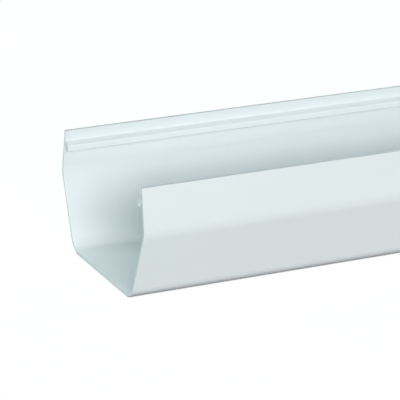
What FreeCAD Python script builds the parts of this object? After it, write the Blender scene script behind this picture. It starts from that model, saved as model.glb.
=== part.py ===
# A length of PVC box gutter: one extruded piece, open along its top and at both ends.
# From a flat base each wall leans outwards, turns at a soft waist and leans back in to its rim.
# Under each rim, on the inner face, a hooked rib gives the clip of a gutter bracket its hold.
# X runs along the gutter, Y across it and Z up. The origin is on the underside, at mid-length.

import FreeCAD, Part
import os
from math import acos, atan2, cos, hypot, pi, sin

import Sketcher
from FreeCAD import Vector
from Sketcher import Constraint

# Driving dimensions, in millimetres. Radii of the walls are those of their outer face.
DIMENSIONS = {
    "length": 2000,
    "overall_width": 125,
    "overall_height": 76,
    "base_flat": 73,
    "rim_width": 117,
    "wall": 1.8,
    "base_radius": 12,
    "waist_radius": 16,
    "waist_height": 49,
    "rib_drop": 7.2,
    "rib_reach": 5,
    "rib_fall": 1.75,
    "rib_depth": 5.6,
    "rib_thickness": 1.6,
    "nose_radius": 1.2,
    "rim_edge_radius": 0.25,
    "tip_edge_radius": 0.5,
    "root_radius": 0.5,
}

# Ends of a sketch line or arc, and its centre, as the sketcher numbers them.
START, END, CENTRE = 1, 2, 3
# The sketch's own origin, as a piece of geometry and a point of it.
ORIGIN = (-1, 1)


def make_sheet(doc):
    """The spreadsheet that drives the model: names in column A, sizes in column B."""
    sheet = doc.addObject("Spreadsheet::Sheet", "Sizes")
    for row, (alias, value) in enumerate(DIMENSIONS.items(), start=1):
        sheet.set(f"A{row}", alias)
        sheet.set(f"B{row}", str(value))
        sheet.setAlias(f"B{row}", alias)
    doc.recompute()
    return sheet


def origin_plane(body, role):
    """One of the body's own origin planes, such as YZ_Plane."""
    return next(plane for plane in body.Origin.OriginFeatures if plane.Role == role)


def polar(centre, radius, angle):
    """The point at that radius and angle round a centre."""
    return centre + Vector(cos(angle), sin(angle), 0) * radius


def outward_angle_between(first, first_radius, second, second_radius):
    """Angle of the outward normal of the line that touches two circles, the first below the second."""
    step = second - first
    return atan2(step.y, step.x) - acos((first_radius - second_radius) / step.Length)


def outward_angle_to(centre, radius, tip):
    """Angle of the outward normal of the line from a circle up to a point."""
    step = tip - centre
    return atan2(step.y, step.x) - acos(radius / hypot(step.x, step.y))


def line(start, end):
    return Part.LineSegment(start, end)


def arc(centre, radius, start_angle, end_angle):
    circle = Part.Circle(centre, Vector(0, 0, 1), radius)
    return Part.ArcOfCircle(circle, start_angle, end_angle)


def section_geometry(size):
    """The half-section on the +Y side as sketch geometry, in order round its outline."""
    rim_height = size["overall_height"]
    wall = size["wall"]
    base_radius = size["base_radius"]
    waist_radius = size["waist_radius"]

    base_centre = Vector(size["base_flat"] / 2, base_radius, 0)
    waist_centre = Vector(size["overall_width"] / 2 - waist_radius, size["waist_height"], 0)
    rim_outer = Vector(size["rim_width"] / 2, rim_height, 0)
    lower = outward_angle_between(base_centre, base_radius, waist_centre, waist_radius)
    upper = outward_angle_to(waist_centre, waist_radius, rim_outer)

    # Outer face, from the middle of the underside up to the rim.
    base_end = Vector(base_centre.x, 0, 0)
    lower_start = polar(base_centre, base_radius, lower)
    lower_end = polar(waist_centre, waist_radius, lower)
    upper_start = polar(waist_centre, waist_radius, upper)

    # Inner face, one wall thickness in: first from the rim down past the rib.
    def on_inner_wall(height):
        slope = sin(upper) / cos(upper)
        return Vector(rim_outer.x - wall / cos(upper) + (rim_height - height) * slope, height, 0)

    rim_inner = on_inner_wall(rim_height)
    root = on_inner_wall(rim_height - size["rib_drop"])
    nose = root + Vector(-size["rib_reach"], -size["rib_fall"], 0)
    tip_front = Vector(nose.x, root.y - size["rib_depth"], 0)
    tip_back = tip_front + Vector(size["rib_thickness"], 0, 0)
    ledge_slope = size["rib_fall"] / size["rib_reach"]
    drop = size["rib_thickness"] * hypot(1, ledge_slope)
    under_front = Vector(tip_back.x, nose.y - drop + size["rib_thickness"] * ledge_slope, 0)
    wall_slope = sin(upper) / cos(upper)
    run = (root.x - under_front.x + (root.y - under_front.y) * wall_slope) / (1 + ledge_slope * wall_slope)
    under_root = under_front + Vector(run, run * ledge_slope, 0)

    # Then on down round the waist and the base corner, about the same two centres.
    inner_waist = waist_radius - wall
    inner_base = base_radius - wall
    return {
        "base": line(Vector(0, 0, 0), base_end),
        "base_corner": arc(base_centre, base_radius, -pi / 2, lower),
        "lower_wall": line(lower_start, lower_end),
        "waist": arc(waist_centre, waist_radius, lower, upper),
        "upper_wall": line(upper_start, rim_outer),
        "rim": line(rim_outer, rim_inner),
        "inner_rim": line(rim_inner, root),
        "ledge": line(root, nose),
        "lip_face": line(nose, tip_front),
        "lip_tip": line(tip_front, tip_back),
        "lip_back": line(tip_back, under_front),
        "ledge_under": line(under_front, under_root),
        "inner_upper": line(under_root, polar(waist_centre, inner_waist, upper)),
        "inner_waist": arc(waist_centre, inner_waist, lower, upper),
        "inner_lower": line(polar(waist_centre, inner_waist, lower), polar(base_centre, inner_base, lower)),
        "inner_corner": arc(base_centre, inner_base, -pi / 2, lower),
        "channel_floor": line(Vector(base_centre.x, wall, 0), Vector(0, wall, 0)),
        "middle": line(Vector(0, wall, 0), Vector(0, 0, 0)),
    }


def add_section(body, size):
    """The half-section as a fully constrained sketch on the body's YZ plane, every size from the sheet."""
    sketch = body.newObject("Sketcher::SketchObject", "HalfSection")
    sketch.AttachmentSupport = (origin_plane(body, "YZ_Plane"), "")
    sketch.MapMode = "FlatFace"
    at = {name: sketch.addGeometry(shape, False) for name, shape in section_geometry(size).items()}

    def joined(first, first_end, second, second_end, kind="Coincident"):
        sketch.addConstraint(Constraint(kind, at[first], first_end, at[second], second_end))

    def held(name, kind, *where, formula):
        # A size needs some value to be made with; the formula sets it straight afterwards.
        index = sketch.addConstraint(Constraint(kind, *where, measured(kind, where)))
        sketch.renameConstraint(index, name)
        sketch.setExpression(f"Constraints.{name}", formula)

    def measured(kind, where):
        # The value that kind of size has in the geometry as first drawn.
        if kind == "Radius":
            return sketch.Geometry[where[0]].Radius
        if len(where) == 3:
            point, edge = sketch.getPoint(where[0], where[1]), sketch.Geometry[where[2]]
            return point.distanceToLine(edge.StartPoint, edge.EndPoint - edge.StartPoint)
        first = Vector(0, 0, 0) if where[0] == -1 else sketch.getPoint(where[0], where[1])
        step = sketch.getPoint(where[2], where[3]) - first
        return step.x if kind == "DistanceX" else step.y

    sketch.addConstraint(Constraint("Coincident", at["base"], START, *ORIGIN))
    joined("base", END, "base_corner", START, "Tangent")
    joined("base_corner", END, "lower_wall", START, "Tangent")
    joined("lower_wall", END, "waist", START, "Tangent")
    joined("waist", END, "upper_wall", START, "Tangent")
    joined("upper_wall", END, "rim", START)
    joined("rim", END, "inner_rim", START)
    joined("inner_rim", END, "ledge", START)
    joined("ledge", END, "lip_face", START)
    joined("lip_face", END, "lip_tip", START)
    joined("lip_tip", END, "lip_back", START)
    joined("lip_back", END, "ledge_under", START)
    joined("ledge_under", END, "inner_upper", START)
    joined("inner_upper", END, "inner_waist", END, "Tangent")
    joined("inner_waist", START, "inner_lower", START, "Tangent")
    joined("inner_lower", END, "inner_corner", END, "Tangent")
    joined("inner_corner", START, "channel_floor", START, "Tangent")
    joined("channel_floor", END, "middle", START)
    joined("middle", END, "base", START)

    for level in ("base", "channel_floor", "rim", "lip_tip"):
        sketch.addConstraint(Constraint("Horizontal", at[level]))
    for upright in ("lip_face", "lip_back", "middle"):
        sketch.addConstraint(Constraint("Vertical", at[upright]))
    # The wall keeps one thickness: its arcs share their centres and its upper faces run parallel.
    joined("base_corner", CENTRE, "inner_corner", CENTRE)
    joined("waist", CENTRE, "inner_waist", CENTRE)
    sketch.addConstraint(Constraint("Parallel", at["upper_wall"], at["inner_upper"]))
    sketch.addConstraint(Constraint("Tangent", at["inner_rim"], at["inner_upper"]))
    sketch.addConstraint(Constraint("Parallel", at["ledge"], at["ledge_under"]))

    held("half_base", "DistanceX", *ORIGIN, at["base"], END, formula="Sizes.base_flat / 2")
    held("base_bend", "Radius", at["base_corner"], formula="Sizes.base_radius")
    held("waist_bend", "Radius", at["waist"], formula="Sizes.waist_radius")
    held("inner_base_bend", "Radius", at["inner_corner"], formula="Sizes.base_radius - Sizes.wall")
    held("inner_waist_bend", "Radius", at["inner_waist"], formula="Sizes.waist_radius - Sizes.wall")
    held("waist_out", "DistanceX", *ORIGIN, at["waist"], CENTRE,
         formula="Sizes.overall_width / 2 - Sizes.waist_radius")
    held("waist_up", "DistanceY", *ORIGIN, at["waist"], CENTRE, formula="Sizes.waist_height")
    held("rim_out", "DistanceX", *ORIGIN, at["upper_wall"], END, formula="Sizes.rim_width / 2")
    held("rim_up", "DistanceY", *ORIGIN, at["upper_wall"], END, formula="Sizes.overall_height")
    held("root_down", "DistanceY", at["ledge"], START, at["rim"], END, formula="Sizes.rib_drop")
    held("nose_in", "DistanceX", at["ledge"], END, at["ledge"], START, formula="Sizes.rib_reach")
    held("nose_down", "DistanceY", at["ledge"], END, at["ledge"], START, formula="Sizes.rib_fall")
    held("tip_down", "DistanceY", at["lip_face"], END, at["ledge"], START, formula="Sizes.rib_depth")
    held("lip_thick", "DistanceX", at["lip_tip"], START, at["lip_tip"], END, formula="Sizes.rib_thickness")
    held("ledge_thick", "Distance", at["ledge_under"], START, at["ledge"], formula="Sizes.rib_thickness")
    return sketch


def long_edges(shape, places):
    """Names of the edges that run the whole length at any of these places across the section."""
    names = []
    for index, edge in enumerate(shape.Edges, start=1):
        first, last = edge.Vertexes[0].Point, edge.Vertexes[-1].Point
        if hypot(first.y - last.y, first.z - last.z) > 1e-6:
            continue
        if any(hypot(abs(first.y) - place.x, first.z - place.y) < 1e-3 for place in places):
            names.append(f"Edge{index}")
    return names


def add_fillet(doc, body, name, base, places, alias):
    """Round the long edges at these places, on both walls, by one radius of the sheet."""
    edges = long_edges(base.Shape, places)
    assert len(edges) == 2 * len(places), f"{name}: found {len(edges)} edges for {len(places)} places a side"
    fillet = body.newObject("PartDesign::Fillet", name)
    fillet.Base = (base, edges)
    fillet.setExpression("Radius", f"Sizes.{alias}")
    body.Tip = fillet
    doc.recompute()
    return fillet


def make_gutter(doc, size):
    """The gutter: half a section drawn out to length, mirrored, and its rims and ribs rounded."""
    body = doc.addObject("PartDesign::Body", "Gutter")
    body.Label = "gutter"
    section = add_section(body, size)
    doc.recompute()
    assert section.FullyConstrained, "the half-section has freedom left"

    half = body.newObject("PartDesign::Pad", "HalfGutter")
    half.Profile = section
    half.SideType = "Symmetric"
    half.setExpression("Length", "Sizes.length")
    section.Visibility = False
    doc.recompute()

    whole = body.newObject("PartDesign::Mirrored", "BothHalves")
    whole.Originals = [half]
    whole.MirrorPlane = (origin_plane(body, "XZ_Plane"), "")
    body.Tip = whole
    doc.recompute()

    drawn = section_geometry(size)
    rims = [drawn["rim"].StartPoint, drawn["rim"].EndPoint]
    noses = [drawn["ledge"].EndPoint]
    tips = [drawn["lip_tip"].StartPoint, drawn["lip_tip"].EndPoint]
    roots = [drawn["ledge"].StartPoint, drawn["ledge_under"].StartPoint, drawn["ledge_under"].EndPoint]
    rounded = add_fillet(doc, body, "RibNoses", whole, noses, "nose_radius")
    rounded = add_fillet(doc, body, "Rims", rounded, rims, "rim_edge_radius")
    rounded = add_fillet(doc, body, "RibTips", rounded, tips, "tip_edge_radius")
    add_fillet(doc, body, "RibRoots", rounded, roots, "root_radius")
    return body


def check(doc, bodies):
    """Every feature has to be sound before anything is written."""
    for item in doc.Objects:
        assert "Invalid" not in item.State and "Error" not in item.State, f"{item.Name}: {item.State}"
    for body in bodies:
        assert not body.Shape.isNull() and body.Shape.isValid(), f"{body.Label}: unsound shape"
        assert len(body.Shape.Solids) == 1, f"{body.Label}: {len(body.Shape.Solids)} solids"


doc = FreeCAD.newDocument("BoxGutter")
sheet = make_sheet(doc)
gutter = make_gutter(doc, DIMENSIONS)
doc.recompute()
check(doc, [gutter])

box = gutter.Shape.BoundBox
print(f"gutter {box.XLength:.2f} x {box.YLength:.2f} x {box.ZLength:.2f} mm, {gutter.Shape.Volume / 1000:.1f} cm3")

os.makedirs("parts", exist_ok=True)
gutter.Shape.exportStep("parts/gutter.step")
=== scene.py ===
from math import acos, atan2, cos, hypot, pi, radians, sin, tan

import bmesh
import bpy
from mathutils import Matrix, Vector


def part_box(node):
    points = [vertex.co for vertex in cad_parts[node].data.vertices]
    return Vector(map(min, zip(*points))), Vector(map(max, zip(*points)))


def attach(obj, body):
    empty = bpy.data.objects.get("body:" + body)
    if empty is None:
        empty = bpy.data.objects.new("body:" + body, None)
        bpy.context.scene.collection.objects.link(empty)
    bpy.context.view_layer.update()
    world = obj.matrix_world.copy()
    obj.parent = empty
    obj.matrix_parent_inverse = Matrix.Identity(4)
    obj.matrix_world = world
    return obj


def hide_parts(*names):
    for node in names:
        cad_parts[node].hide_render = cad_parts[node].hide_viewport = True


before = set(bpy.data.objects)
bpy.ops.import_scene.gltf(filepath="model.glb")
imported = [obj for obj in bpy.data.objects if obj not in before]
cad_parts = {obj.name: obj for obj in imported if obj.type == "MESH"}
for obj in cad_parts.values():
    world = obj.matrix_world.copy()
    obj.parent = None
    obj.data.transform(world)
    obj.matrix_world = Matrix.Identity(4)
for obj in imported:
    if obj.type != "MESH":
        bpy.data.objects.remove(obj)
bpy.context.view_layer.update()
print("frame loaded:", sorted(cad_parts))

scene = bpy.context.scene
scene.view_settings.view_transform = "Standard"
gutterLow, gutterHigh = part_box("gutter")
gutterLength = gutterHigh.x - gutterLow.x
mm = 0.001
mergeDistance = 0.001 * mm


# sRGB hex to linear, the one place where colours are turned
def linearColour(hexCode):
    channels = [int(hexCode[i:i + 2], 16) / 255 for i in (1, 3, 5)]
    turned = [c / 12.92 if c <= 0.04045 else ((c + 0.055) / 1.055) ** 2.4 for c in channels]
    return (*turned, 1.0)


# adds a node to a material or to the world
# settings are its properties or input values, links are inputs fed by another node's output
def addNode(owner, kind, settings=None, links=None):
    node = owner.node_tree.nodes.new(kind)
    for name, value in (settings or {}).items():
        if isinstance(name, str) and hasattr(node, name):
            setattr(node, name, value)
        else:
            node.inputs[name].default_value = value
    for name, source in (links or {}).items():
        owner.node_tree.links.new(source, node.inputs[name])
    return node


def newMaterial(name):
    material = bpy.data.materials.new(name)
    material.use_nodes = True
    material.node_tree.nodes.clear()
    return material


# 1 where a thing is seen itself, mirrored or through something clear, and 0 for the light that it gives off
def seenDirectly(owner):
    path = addNode(owner, "ShaderNodeLightPath")
    seen = path.outputs["Is Camera Ray"]
    for ray in ("Is Glossy Ray", "Is Transmission Ray"):
        either = addNode(owner, "ShaderNodeMath", {"operation": "MAXIMUM"},
                         {0: seen, 1: path.outputs[ray]})
        seen = either.outputs[0]
    return seen


# the extrusion: half of its section, from the middle of the underside up, over the rim and back down,
# then mirrored and drawn out to length
gutterSection = {
    "baseFlat": 73 * mm,       # flat of the underside, between the base corners
    "rimWidth": 117 * mm,      # over the outer edges of the two rims
    "wall": 1.8 * mm,
    "baseRadius": 12 * mm,     # both radii are those of the outer face
    "waistRadius": 16 * mm,
    "waistHeight": 49 * mm,
    "ribDrop": 7.2 * mm,       # from the rim down to the root of the rib's ledge
    "ribReach": 5 * mm,        # how far the ledge stands out from the wall
    "ribFall": 1.75 * mm,      # how far the ledge drops over that reach
    "ribDepth": 5.6 * mm,      # from the root of the ledge down to the tip of the lip
    "ribThickness": 1.6 * mm,
    "noseRadius": 1.2 * mm,
    "rimRadius": 0.25 * mm,
    "edgeRadius": 0.5 * mm,    # of the lip's tip and the rib's roots
    "baseSteps": 20,           # faces round each base corner
    "waistSteps": 14,
    "noseSteps": 7,
    "edgeSteps": 5,
    "rings": 120,              # faces along the length
    "sawnEdge": 0.12 * mm,     # the end edges after the saw burr is wiped off
    "sawnSteps": 2,
    "cutFacing": 0.95,         # a face that looks along the gutter by this much is part of a cut end
    "sharpFrom": 30,           # degrees between two faces from which their edge is drawn sharp
}


def runTo(bm, vert, y, z):
    grown = bmesh.ops.extrude_vert_indiv(bm, verts=[vert])["verts"][0]
    grown.co = Vector((0, y, z))
    return grown


def turnRound(bm, vert, centre, angle, steps):
    swept = bmesh.ops.spin(bm, geom=[vert], cent=(0, centre[0], centre[1]), axis=(1, 0, 0), angle=angle,
                           steps=steps, use_duplicate=False)
    return [item for item in swept["geom_last"] if isinstance(item, bmesh.types.BMVert)][0]


def roundCorners(bm, corners, radius, steps):
    # a vertex bevel is measured along the edges: radius * tan(half the turn)
    for corner in corners:
        first, second = [(edge.other_vert(corner).co - corner.co).normalized() for edge in corner.link_edges]
        halfTurn = (pi - first.angle(second)) / 2
        bmesh.ops.bevel(bm, geom=[corner], offset=radius * tan(halfTurn), offset_type="OFFSET",
                        segments=steps, profile=0.5, affect="VERTICES", clamp_overlap=False, material=-1)


def makeGutter(s):
    halfWidth, rimHeight = gutterHigh.y, gutterHigh.z
    baseCentre = (s["baseFlat"] / 2, s["baseRadius"])
    waistCentre = (halfWidth - s["waistRadius"], s["waistHeight"])
    rimOuter = (s["rimWidth"] / 2, rimHeight)

    # directions square to the lower and the upper wall, from the tangent lines of the bends
    up, out = waistCentre[1] - baseCentre[1], waistCentre[0] - baseCentre[0]
    lower = atan2(up, out) - acos((s["baseRadius"] - s["waistRadius"]) / hypot(up, out))
    up, out = rimOuter[1] - waistCentre[1], rimOuter[0] - waistCentre[0]
    upper = atan2(up, out) - acos(s["waistRadius"] / hypot(up, out))

    def onBend(centre, radius, angle):
        return centre[0] + radius * cos(angle), centre[1] + radius * sin(angle)

    def onInnerWall(z):
        return rimOuter[0] - s["wall"] / cos(upper) + (rimHeight - z) * tan(upper), z

    # outer face, from the middle of the underside up to the rim
    bm = bmesh.new()
    start = bm.verts.new((0, 0, 0))
    vert = runTo(bm, start, baseCentre[0], 0)
    vert = turnRound(bm, vert, baseCentre, lower + pi / 2, s["baseSteps"])
    vert = runTo(bm, vert, *onBend(waistCentre, s["waistRadius"], lower))
    vert = turnRound(bm, vert, waistCentre, upper - lower, s["waistSteps"])
    rims = [runTo(bm, vert, *rimOuter)]
    rims.append(runTo(bm, rims[0], *onInnerWall(rimHeight)))

    # down the inner face and round the hooked rib
    rootY, rootZ = onInnerWall(rimHeight - s["ribDrop"])
    slope = s["ribFall"] / s["ribReach"]
    noseY, noseZ = rootY - s["ribReach"], rootZ - s["ribFall"]
    tipZ, backY = rootZ - s["ribDepth"], noseY + s["ribThickness"]
    underZ = noseZ - s["ribThickness"] * hypot(1, slope) + s["ribThickness"] * slope
    run = (rootY - backY + (rootZ - underZ) * tan(upper)) / (1 + slope * tan(upper))
    roots = [runTo(bm, rims[1], rootY, rootZ)]
    nose = runTo(bm, roots[0], noseY, noseZ)
    tips = [runTo(bm, nose, noseY, tipZ)]
    tips.append(runTo(bm, tips[0], backY, tipZ))
    roots.append(runTo(bm, tips[1], backY, underZ))
    roots.append(runTo(bm, roots[1], backY + run, underZ + run * slope))

    # on down the inner face, one wall thickness in from the outer one
    vert = runTo(bm, roots[2], *onBend(waistCentre, s["waistRadius"] - s["wall"], upper))
    vert = turnRound(bm, vert, waistCentre, lower - upper, s["waistSteps"])
    vert = runTo(bm, vert, *onBend(baseCentre, s["baseRadius"] - s["wall"], lower))
    vert = turnRound(bm, vert, baseCentre, -lower - pi / 2, s["baseSteps"])
    runTo(bm, vert, 0, s["wall"])

    roundCorners(bm, rims, s["rimRadius"], s["edgeSteps"])
    roundCorners(bm, tips + roots, s["edgeRadius"], s["edgeSteps"])
    roundCorners(bm, [nose], s["noseRadius"], s["noseSteps"])

    # the other half, then the whole section as one face, drawn out to length
    bmesh.ops.mirror(bm, geom=bm.verts[:] + bm.edges[:], matrix=Matrix.Identity(4), merge_dist=mergeDistance,
                     axis="Y")
    bmesh.ops.remove_doubles(bm, verts=bm.verts[:], dist=mergeDistance)
    section = bmesh.ops.contextual_create(bm, geom=bm.edges[:])["faces"]
    print("section:", len(bm.verts), "corners,", len(section), "face")
    bmesh.ops.translate(bm, verts=bm.verts[:], vec=(gutterLow.x, 0, 0))
    grown = bmesh.ops.extrude_face_region(bm, geom=section)["geom"]
    farEnd = [item for item in grown if isinstance(item, bmesh.types.BMVert)]
    bmesh.ops.translate(bm, verts=farEnd, vec=(gutterLength, 0, 0))
    return bm


# an extrusion never leaves the calibrator quite straight: the walls toe in and out by a hair along the length
wallWander = {
    "reach": 0.16 * mm,        # most that a rim stands off its true line
    "longWave": 1.55,          # metres
    "shortWave": 0.47,
    "longShare": 0.65,
    "shortShare": 0.35,
    "longShift": 0.9,          # radians, opposite on the two sides, so that they don't move as one
    "shortShift": 2.2,
    "shortStart": 0.7,
    "rise": 1.5,               # power of the height by which it grows from the base to the rim
}


def wander(bm, s):
    for vert in bm.verts:
        side = 1 if vert.co.y > 0 else -1
        turn = 2 * pi * vert.co.x
        along = s["longShare"] * sin(turn / s["longWave"] + s["longShift"] * side)
        along += s["shortShare"] * sin(turn / s["shortWave"] + s["shortShift"] * side + s["shortStart"])
        vert.co.y += side * s["reach"] * along * (vert.co.z / gutterHigh.z) ** s["rise"]


def finishGutter(bm, s):
    longEdges = [edge for edge in bm.edges if edge.calc_length() > gutterLength / 2]
    bmesh.ops.subdivide_edges(bm, edges=longEdges, cuts=s["rings"] - 1, use_grid_fill=True)

    def looksAlong(face):
        return abs(face.normal.x) > s["cutFacing"]

    cutEdges = [edge for edge in bm.edges if any(looksAlong(face) for face in edge.link_faces)]
    bmesh.ops.bevel(bm, geom=cutEdges, offset=s["sawnEdge"], offset_type="OFFSET", segments=s["sawnSteps"],
                    profile=0.5, affect="EDGES", clamp_overlap=False, material=-1)
    wander(bm, wallWander)
    for face in bm.faces:
        face.smooth = True
        face.material_index = 1 if looksAlong(face) else 0
    for edge in bm.edges:
        edge.smooth = edge.calc_face_angle(0) < radians(s["sharpFrom"])


bm = makeGutter(gutterSection)
finishGutter(bm, gutterSection)
mesh = bpy.data.meshes.new("gutterExtrusion")
bm.to_mesh(mesh)
bm.free()
gutter = bpy.data.objects.new("gutterExtrusion", mesh)
scene.collection.objects.link(gutter)
# flat faces keep flat shading up to the bends
weighted = gutter.modifiers.new("flatFacesLead", "WEIGHTED_NORMAL")
weighted.keep_sharp = True
print("gutter:", len(mesh.vertices), "vertices,", len(mesh.polygons), "faces")


# rigid PVC, extruded: a cool white with a calm gloss, and hair-fine lines along the run from the die
pvc = {
    "colour": "#E7EDEF",
    "dulled": "#E2E8EA",       # a touch duller where hands and racks have rubbed it
    "glossy": 0.27,            # roughness of the clean skin
    "rubbed": 0.36,            # and of the dulled patches
    "ior": 1.53,
    "dieLine": 1.1 * mm,       # die lines really sit about 0.3 mm apart; drawn coarser so that they show
    "dieDepth": 0.003 * mm,
    "dieStretch": 0.003,       # how fast they change along the length, against across it
    "dieDetail": 3.0,
    "dieGrain": 0.6,
    "ripple": 35 * mm,         # slow unevenness left by the cooling bath
    "rippleDepth": 0.02 * mm,
    "rippleDetail": 1.0,
    "pull": 0.25,              # how fast ripple and patches change along the length, against across it
    "patch": 70 * mm,
    "patchDetail": 4.0,
    "patchGrain": 0.55,
    "patchFrom": 0.2,          # pattern values between which the skin goes from clean to dulled
    "patchTo": 0.8,
    "paintedShade": "#B6C0C2",         # painted shade: the rim tops, which get little light from above, and the foot of the bends, close to the floor
    "rimShadeDepth": 0.35 * mm,      # how far down from the rim top the painted shade reaches
    "footShadeHeight": 8 * mm,
    "footShadeStart": -0.6,         # the painted shade on the foot sets in where a face looks down by this much
    "footShadeFull": -0.8,
    "footShadeFades": -0.95,        # and fades out again before the flat of the underside, which is left unpainted
    "footShadeEnds": -0.99,
}


def makePvc(s):
    material = newMaterial("extrudedPvc")
    place = addNode(material, "ShaderNodeTexCoord")

    # die lines change across the section and hardly at all along it
    drawn = addNode(material, "ShaderNodeMapping", {"Scale": (s["dieStretch"], 1, 1)},
                    {"Vector": place.outputs["Object"]})
    lines = addNode(material, "ShaderNodeTexNoise",
                    {"Scale": 1 / s["dieLine"], "Detail": s["dieDetail"], "Roughness": s["dieGrain"]},
                    {"Vector": drawn.outputs["Vector"]})
    pulled = addNode(material, "ShaderNodeMapping", {"Scale": (s["pull"], 1, 1)},
                     {"Vector": place.outputs["Object"]})
    ripple = addNode(material, "ShaderNodeTexNoise", {"Scale": 1 / s["ripple"], "Detail": s["rippleDetail"]},
                     {"Vector": pulled.outputs["Vector"]})
    patches = addNode(material, "ShaderNodeTexNoise",
                      {"Scale": 1 / s["patch"], "Detail": s["patchDetail"], "Roughness": s["patchGrain"]},
                      {"Vector": pulled.outputs["Vector"]})
    rubbed = addNode(material, "ShaderNodeMapRange",
                     {"interpolation_type": "SMOOTHSTEP", "From Min": s["patchFrom"], "From Max": s["patchTo"]},
                     {"Value": patches.outputs["Fac"]})
    colour = addNode(material, "ShaderNodeMix",
                     {"data_type": "RGBA", 6: linearColour(s["colour"]), 7: linearColour(s["dulled"])},
                     {0: rubbed.outputs["Result"]})

    # painted shade on the rim tops, which get little light from above
    height = addNode(material, "ShaderNodeSeparateXYZ", links={0: place.outputs["Object"]})
    rimShadeMask = addNode(material, "ShaderNodeMapRange",
                    {"From Min": gutterHigh.z - s["rimShadeDepth"], "From Max": gutterHigh.z},
                    {"Value": height.outputs["Z"]})

    # painted shade on the foot: what faces the floor at a slant from close by, so neither the channel nor the
    # ribs
    facing = addNode(material, "ShaderNodeSeparateXYZ", links={0: place.outputs["Normal"]})
    facesFloor = addNode(material, "ShaderNodeMapRange",
                         {"From Min": s["footShadeStart"], "From Max": s["footShadeFull"]},
                         {"Value": facing.outputs["Z"]})
    notFlat = addNode(material, "ShaderNodeMapRange",
                      {"From Min": s["footShadeEnds"], "From Max": s["footShadeFades"]},
                      {"Value": facing.outputs["Z"]})
    nearFloor = addNode(material, "ShaderNodeMath", {"operation": "LESS_THAN", 1: s["footShadeHeight"]},
                        {0: height.outputs["Z"]})
    onBend = addNode(material, "ShaderNodeMath", {"operation": "MULTIPLY"},
                     {0: facesFloor.outputs["Result"], 1: notFlat.outputs["Result"]})
    footShadeMask = addNode(material, "ShaderNodeMath", {"operation": "MULTIPLY"},
                     {0: onBend.outputs[0], 1: nearFloor.outputs[0]})
    # the painted shade of the rim tops and the foot, mixed into the colour
    paintedShadeMask = addNode(material, "ShaderNodeMath", {"operation": "MAXIMUM"},
                   {0: rimShadeMask.outputs["Result"], 1: footShadeMask.outputs[0]})
    shadePaintedColour = addNode(material, "ShaderNodeMix", {"data_type": "RGBA", 7: linearColour(s["paintedShade"])},
                      {0: paintedShadeMask.outputs[0], 6: colour.outputs[2]})

    roughness = addNode(material, "ShaderNodeMapRange", {"To Min": s["glossy"], "To Max": s["rubbed"]},
                        {"Value": rubbed.outputs["Result"]})
    bathBump = addNode(material, "ShaderNodeBump", {"Strength": 1.0, "Distance": s["rippleDepth"]},
                       {"Height": ripple.outputs["Fac"]})
    dieBump = addNode(material, "ShaderNodeBump", {"Strength": 1.0, "Distance": s["dieDepth"]},
                      {"Height": lines.outputs["Fac"], "Normal": bathBump.outputs["Normal"]})
    surface = addNode(material, "ShaderNodeBsdfPrincipled", {"IOR": s["ior"]},
                      {"Base Color": shadePaintedColour.outputs[2], "Roughness": roughness.outputs["Result"],
                       "Normal": dieBump.outputs["Normal"]})
    addNode(material, "ShaderNodeOutputMaterial", links={"Surface": surface.outputs["BSDF"]})
    return material


# rigid PVC, sawn: the cut ends are matt and a little greyer, with the blade's fine marks
sawnPvc = {
    "colour": "#DAE2E3",
    "mark": "#CAD4D5",
    "roughness": 0.62,
    "ior": 1.53,
    "toothMark": 0.9 * mm,     # spacing of the blade's marks
    "markDepth": 0.02 * mm,
    "bladeLean": 28,           # degrees; the blade came down at a slant, so the marks lean across the section
    "markWaver": 2.2,
    "markDetail": 2.0,
    "markDetailScale": 1.4,
}
bandsPerMetre = 20 / (2 * pi)  # what a wave texture of scale 1 draws


def makeSawnPvc(s):
    material = newMaterial("sawnPvc")
    place = addNode(material, "ShaderNodeTexCoord")
    leant = addNode(material, "ShaderNodeMapping", {"Rotation": (radians(s["bladeLean"]), 0, 0)},
                    {"Vector": place.outputs["Object"]})
    marks = addNode(material, "ShaderNodeTexWave",
                    {"wave_type": "BANDS", "bands_direction": "Z",
                     "Scale": 1 / (bandsPerMetre * s["toothMark"]), "Distortion": s["markWaver"],
                     "Detail": s["markDetail"], "Detail Scale": s["markDetailScale"]},
                    {"Vector": leant.outputs["Vector"]})
    colour = addNode(material, "ShaderNodeMix",
                     {"data_type": "RGBA", 6: linearColour(s["colour"]), 7: linearColour(s["mark"])},
                     {0: marks.outputs["Fac"]})
    bump = addNode(material, "ShaderNodeBump", {"Strength": 1.0, "Distance": s["markDepth"]},
                   {"Height": marks.outputs["Fac"]})
    surface = addNode(material, "ShaderNodeBsdfPrincipled", {"IOR": s["ior"], "Roughness": s["roughness"]},
                      {"Base Color": colour.outputs[2], "Normal": bump.outputs["Normal"]})
    addNode(material, "ShaderNodeOutputMaterial", links={"Surface": surface.outputs["BSDF"]})
    return material


gutter.data.materials.append(makePvc(pvc))
gutter.data.materials.append(makeSawnPvc(sawnPvc))
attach(gutter, "root")
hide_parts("gutter")
print("materials: extruded and sawn PVC")


# floor and surroundings
studio = {
    "floorHalf": 9.0,          # metres
    "floorColour": "#AAADAE",  # what the floor throws back at the gutter
    "floorGlow": 0.96,         # what the camera sees of the floor besides its lit colour
    "floorKept": 0.15,         # share of the lit colour, so the shadow stays
    "contactShadeReach": 0.9 * mm,  # how far out the painted contact shadow darkens the floor's glow along the gutter's foot
    "contactSamples": 8,
    "fill": 0.02,              # strength of the surrounding light on the object
    "fillColour": "#F4FAFC",
}


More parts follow.
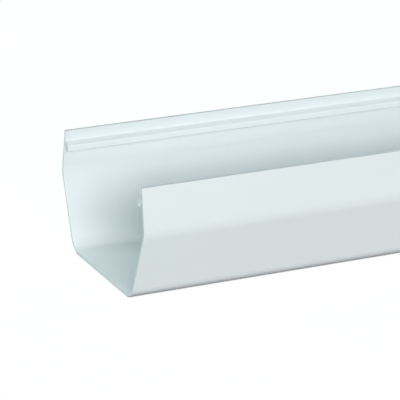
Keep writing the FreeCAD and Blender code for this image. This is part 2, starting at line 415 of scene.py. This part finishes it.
def makeFloor(s):
    bm = bmesh.new()
    bmesh.ops.create_grid(bm, x_segments=1, y_segments=1, size=s["floorHalf"])
    mesh = bpy.data.meshes.new("studioFloor")
    bm.to_mesh(mesh)
    bm.free()
    floor = bpy.data.objects.new("studioFloor", mesh)
    scene.collection.objects.link(floor)
    material = newMaterial("paleFloor")
    lit = addNode(material, "ShaderNodeBsdfDiffuse", {"Color": linearColour(s["floorColour"])})
    # painted contact shadow: the floor's glow darkens right beside the bends, where little light gets in
    paintedContactShade = addNode(material, "ShaderNodeAmbientOcclusion",
                       {"samples": s["contactSamples"], "Distance": s["contactShadeReach"]})
    glow = addNode(material, "ShaderNodeEmission", {"Strength": s["floorGlow"] / (1 - s["floorKept"])},
                   {"Color": paintedContactShade.outputs["Color"]})
    share = addNode(material, "ShaderNodeMath", {"operation": "MULTIPLY", 1: 1 - s["floorKept"]},
                    {0: seenDirectly(material)})
    mixed = addNode(material, "ShaderNodeMixShader",
                    links={0: share.outputs[0], 1: lit.outputs[0], 2: glow.outputs[0]})
    addNode(material, "ShaderNodeOutputMaterial", links={"Surface": mixed.outputs[0]})
    mesh.materials.append(material)


def makeSurroundings(s):
    world = bpy.data.worlds.new("studio")
    scene.world = world
    world.use_nodes = True
    world.node_tree.nodes.clear()
    white = addNode(world, "ShaderNodeBackground", {"Color": (1, 1, 1, 1), "Strength": 1.0})
    fill = addNode(world, "ShaderNodeBackground",
                   {"Color": linearColour(s["fillColour"]), "Strength": s["fill"]})
    mixed = addNode(world, "ShaderNodeMixShader",
                    links={0: seenDirectly(world), 1: fill.outputs[0], 2: white.outputs[0]})
    addNode(world, "ShaderNodeOutputWorld", links={"Surface": mixed.outputs[0]})


makeFloor(studio)
makeSurroundings(studio)


# lamps: large softboxes, far enough off to light the whole length alike
softboxes = {
    # degrees round from the front (plus is towards the right end), degrees up,
    # metres wide, metres high, watts, colour
    "keySoftbox": (-25.5, 18.5, 2.4, 1.5, 176, "#FFFDFB"),
    "leftSoftbox": (-60, 8, 2.6, 2.6, 38, "#E0F8FA"),
    "rightSoftbox": (75, 20, 2.6, 2.6, 54, "#E0F8FA"),
    "topSoftbox": (0, 88, 2.6, 2.6, 36, "#E0F8FA"),
    "rearLeftSoftbox": (-122, 20, 2.6, 2.6, 100, "#E9FAFB"),
    "rearRightSoftbox": (140, 10, 2.6, 2.6, 130, "#F2FBFC"),
}
softboxDistance = 5.0          # metres from the middle of the gutter


def makeSoftbox(name, aside, above, wide, high, watts, hexCode):
    light = bpy.data.lights.new(name, "AREA")
    light.shape = "RECTANGLE"
    light.size, light.size_y = wide, high
    light.energy = watts
    light.color = linearColour(hexCode)[:3]
    lamp = bpy.data.objects.new(name, light)
    scene.collection.objects.link(lamp)
    aside, above = radians(aside), radians(above)
    towards = Vector((sin(aside) * cos(above), -cos(aside) * cos(above), sin(above)))
    lamp.location = towards * softboxDistance
    lamp.rotation_euler = towards.to_track_quat("Z", "Y").to_euler()


for name, spec in softboxes.items():
    makeSoftbox(name, *spec)
print("studio: floor, surroundings and", len(softboxes), "softboxes")


# camera: a long lens, from the left end and a little above
view = {
    "lens": 227.2,             # millimetres, as is the sensor
    "sensor": 36,
    "fromLeftEnd": (-580.5 * mm, -1326.2 * mm, 579.0 * mm),
    "turned": 26.0109,         # degrees from looking straight across the gutter, towards its right end
    "tilted": 20.0851,         # degrees down from level
    "rolled": 1.0304,          # degrees, its right side raised
    "nearest": 0.05,           # metres
    "farthest": 100,
}


def makeCamera(s):
    lens = bpy.data.cameras.new("camera")
    lens.sensor_width = s["sensor"]
    lens.lens = s["lens"]
    lens.clip_start = s["nearest"]
    lens.clip_end = s["farthest"]
    camera = bpy.data.objects.new("camera", lens)
    scene.collection.objects.link(camera)
    place = Matrix.Translation(Vector(s["fromLeftEnd"]) + Vector((gutterLow.x, 0, 0)))
    turned = Matrix.Rotation(radians(-s["turned"]), 4, "Z")
    tilted = Matrix.Rotation(radians(90 - s["tilted"]), 4, "X")
    rolled = Matrix.Rotation(radians(s["rolled"]), 4, "Z")
    camera.matrix_world = place @ turned @ tilted @ rolled
    scene.camera = camera


makeCamera(view)
